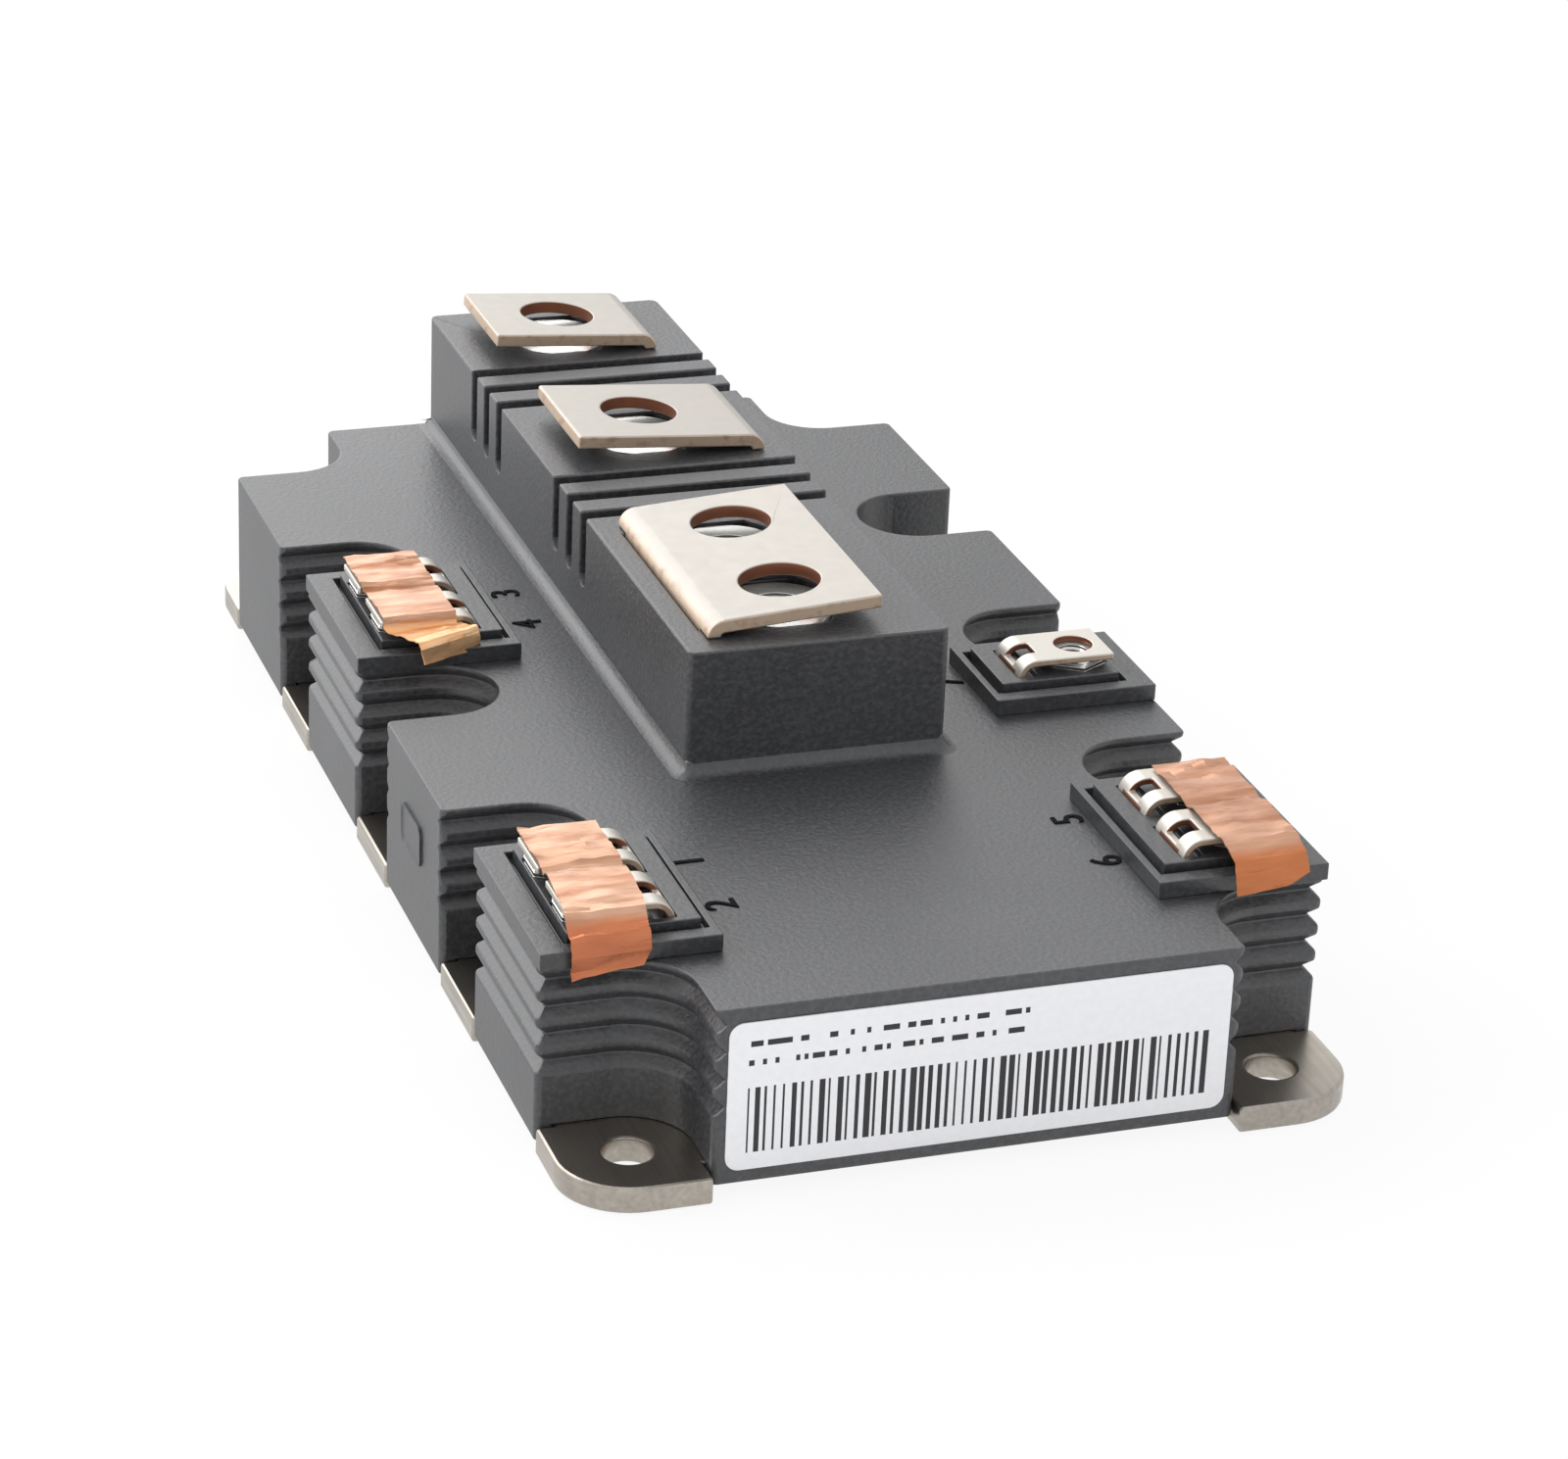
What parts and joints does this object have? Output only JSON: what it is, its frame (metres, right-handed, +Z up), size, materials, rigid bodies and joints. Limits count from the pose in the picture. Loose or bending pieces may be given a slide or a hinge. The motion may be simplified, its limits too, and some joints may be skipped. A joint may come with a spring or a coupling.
{
  "type": "power semiconductor module",
  "caption": "Half-bridge power module: nickel-plated base plate, ribbed plastic housing with a terminal tower, bent busbar terminals over captive nuts and screw-type auxiliary terminals.",
  "frame": {"origin": "centre of the underside of the base plate", "axes": "+X across the width, +Y along the length away from the label end, +Z up out of the base plate"},
  "size_m": [0.089, 0.172, 0.0403],
  "materials": {
    "nickel_plate": "satin",
    "housing_plastic": "matte",
    "terminal_metal": "satin",
    "nut_steel": "satin",
    "foil_copper": "satin",
    "label_paper": "satin",
    "ceramic_white": "matte",
    "track_copper": "satin",
    "silicon": "gloss",
    "thermistor_body": "matte",
    "glue": "matte",
    "gel": "gloss"
  },
  "bodies": {
    "root": {"base_plate": "nickel_plate", "housing": "housing_plastic", "ac_terminal": "terminal_metal", "dc_plus_terminal": "terminal_metal", "dc_minus_terminal": "terminal_metal", "power_nut_1": "nut_steel", "power_nut_2": "nut_steel", "power_nut_3": "nut_steel", "power_nut_4": "nut_steel", "carrier_front_left": "housing_plastic", "carrier_front_right": "housing_plastic", "carrier_rear_left": "housing_plastic", "carrier_single": "housing_plastic", "aux_terminal_1": "terminal_metal", "aux_terminal_2": "terminal_metal", "aux_terminal_3": "terminal_metal", "aux_terminal_4": "terminal_metal", "aux_terminal_5": "terminal_metal", "aux_terminal_6": "terminal_metal", "aux_terminal_7": "terminal_metal", "aux_nut_1": "nut_steel", "aux_nut_2": "nut_steel", "aux_nut_3": "nut_steel", "aux_nut_4": "nut_steel", "aux_nut_5": "nut_steel", "aux_nut_6": "nut_steel", "aux_nut_7": "nut_steel", "foil_front_left": "foil_copper", "foil_front_right": "foil_copper", "foil_rear_left": "foil_copper", "label": "label_paper", "substrate_1": "ceramic_white", "substrate_2": "ceramic_white", "substrate_3": "ceramic_white", "substrate_4": "ceramic_white", "substrate_5": "ceramic_white", "substrate_6": "ceramic_white", "copper_tracks": "track_copper", "igbt_chips": "silicon", "diode_chips": "silicon", "thermistor": "thermistor_body", "glue_bead": "glue", "silicone_gel": "gel"}
  },
  "joints": []
}
